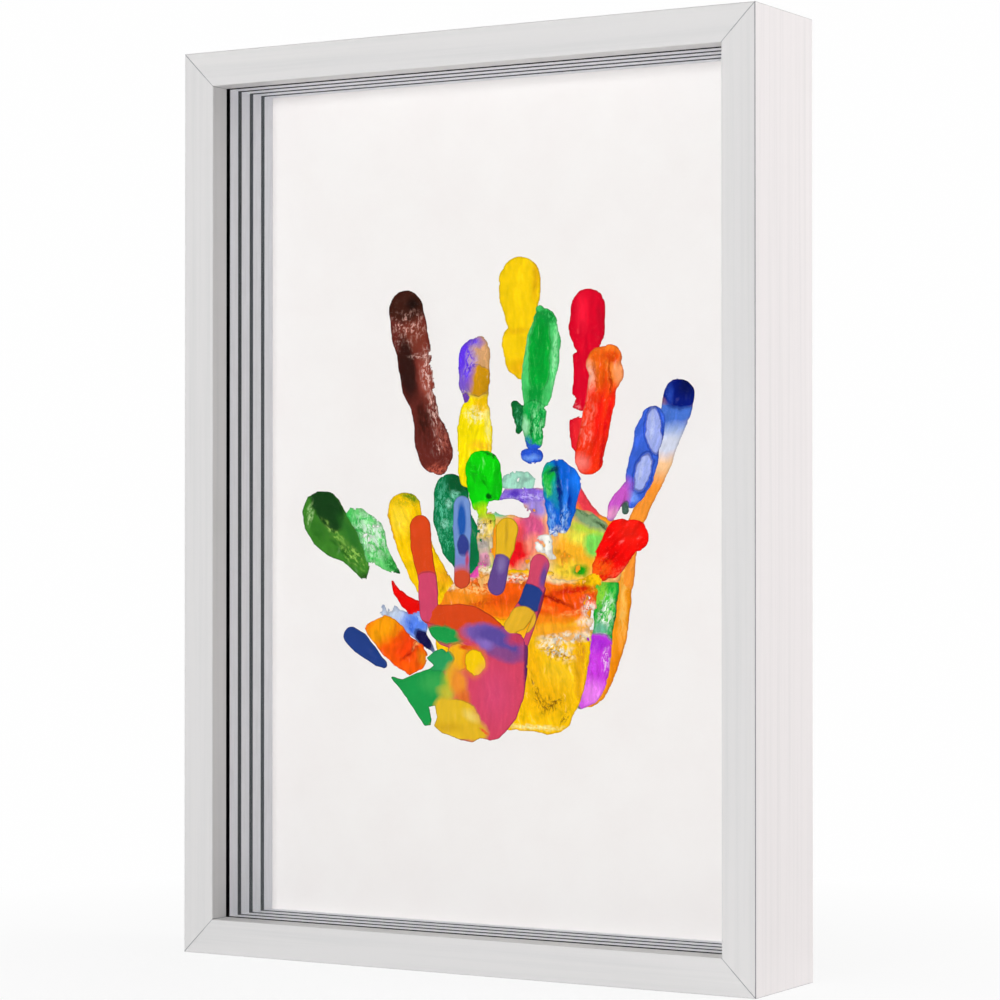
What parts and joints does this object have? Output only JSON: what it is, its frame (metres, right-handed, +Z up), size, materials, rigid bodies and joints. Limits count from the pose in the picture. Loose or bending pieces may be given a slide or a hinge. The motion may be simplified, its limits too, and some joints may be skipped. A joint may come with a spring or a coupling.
{
  "type": "baby handprint frame",
  "caption": "Deep white box frame with clear panes one behind another, each with a painted handprint, and a back held by turn buttons with hanging rings.",
  "frame": {"origin": "middle of the flat base that the frame stands on, halfway between its front and its rear faces and between its sides", "axes": "+Z up, the long way of the frame; the window looks along -Y; +X is to the right of someone who looks at the window"},
  "size_m": [0.22, 0.0468, 0.312],
  "materials": {
    "rail_white": "white wrapped moulding with a faint lengthwise grain",
    "clear_acrylic": "clear polished acrylic sheet with dark cut edges",
    "spacer_white": "matt white strip",
    "paint_baby": "dried finger paint, crimson and orange with navy and blue fingers",
    "paint_child": "dried finger paint, orange and yellow with green, blue and red fingers",
    "paint_mother": "dried finger paint, green, orange, lilac and yellow",
    "paint_father": "dried finger paint, brown, yellow, red, navy and orange",
    "display_white": "warm white card-like board",
    "hardboard": "brown pressed fibre board",
    "zinc_steel": "zinc plated steel"
  },
  "bodies": {
    "frame": {"rail_bottom": "rail_white", "rail_right": "rail_white", "rail_top": "rail_white", "rail_left": "rail_white", "pane_1": "clear_acrylic", "spacer_1_bottom": "spacer_white", "spacer_1_top": "spacer_white", "spacer_1_left": "spacer_white", "spacer_1_right": "spacer_white", "pane_2": "clear_acrylic", "spacer_2_bottom": "spacer_white", "spacer_2_top": "spacer_white", "spacer_2_left": "spacer_white", "spacer_2_right": "spacer_white", "pane_3": "clear_acrylic", "spacer_3_bottom": "spacer_white", "spacer_3_top": "spacer_white", "spacer_3_left": "spacer_white", "spacer_3_right": "spacer_white", "pane_4": "clear_acrylic", "spacer_4_bottom": "spacer_white", "spacer_4_top": "spacer_white", "spacer_4_left": "spacer_white", "spacer_4_right": "spacer_white", "handprint_baby": "paint_baby", "handprint_child": "paint_child", "handprint_mother": "paint_mother", "handprint_father": "paint_father", "display_board": "display_white", "back_board": "hardboard", "v_nails": "zinc_steel", "turn_button_screws": "zinc_steel", "hanger_rivets": "zinc_steel", "hanger_plate_upright": "zinc_steel", "hanger_plate_sideways": "zinc_steel"},
    "turn_button_bottom": {"turn_button_bottom": "zinc_steel"},
    "turn_button_top": {"turn_button_top": "zinc_steel"},
    "turn_button_lower_left": {"turn_button_lower_left": "zinc_steel"},
    "turn_button_lower_right": {"turn_button_lower_right": "zinc_steel"},
    "turn_button_upper_left": {"turn_button_upper_left": "zinc_steel"},
    "turn_button_upper_right": {"turn_button_upper_right": "zinc_steel"},
    "hanger_ring_upright": {"hanger_ring_upright": "zinc_steel"},
    "hanger_ring_sideways": {"hanger_ring_sideways": "zinc_steel"}
  },
  "joints": [
    {"name": "turn_button_bottom_pivot", "type": "hinge", "parent": "frame", "child": "turn_button_bottom", "pos_m": [0, 0.02195, 0.0043], "axis": [0, 1, 0], "continuous": true},
    {"name": "turn_button_top_pivot", "type": "hinge", "parent": "frame", "child": "turn_button_top", "pos_m": [0, 0.02195, 0.3077], "axis": [0, 1, 0], "continuous": true},
    {"name": "turn_button_lower_left_pivot", "type": "hinge", "parent": "frame", "child": "turn_button_lower_left", "pos_m": [-0.1057, 0.02195, 0.078], "axis": [0, 1, 0], "continuous": true},
    {"name": "turn_button_lower_right_pivot", "type": "hinge", "parent": "frame", "child": "turn_button_lower_right", "pos_m": [0.1057, 0.02195, 0.078], "axis": [0, 1, 0], "continuous": true},
    {"name": "turn_button_upper_left_pivot", "type": "hinge", "parent": "frame", "child": "turn_button_upper_left", "pos_m": [-0.1057, 0.02195, 0.234], "axis": [0, 1, 0], "continuous": true},
    {"name": "turn_button_upper_right_pivot", "type": "hinge", "parent": "frame", "child": "turn_button_upper_right", "pos_m": [0.1057, 0.02195, 0.234], "axis": [0, 1, 0], "continuous": true},
    {"name": "hanger_ring_upright_swing", "type": "hinge", "parent": "frame", "child": "hanger_ring_upright", "pos_m": [0, 0.02345, 0.268], "axis": [1, 0, 0], "range_deg": [0, 180]},
    {"name": "hanger_ring_sideways_swing", "type": "hinge", "parent": "frame", "child": "hanger_ring_sideways", "pos_m": [-0.084, 0.02345, 0.156], "axis": [0, 0, 1], "range_deg": [0, 180]}
  ]
}
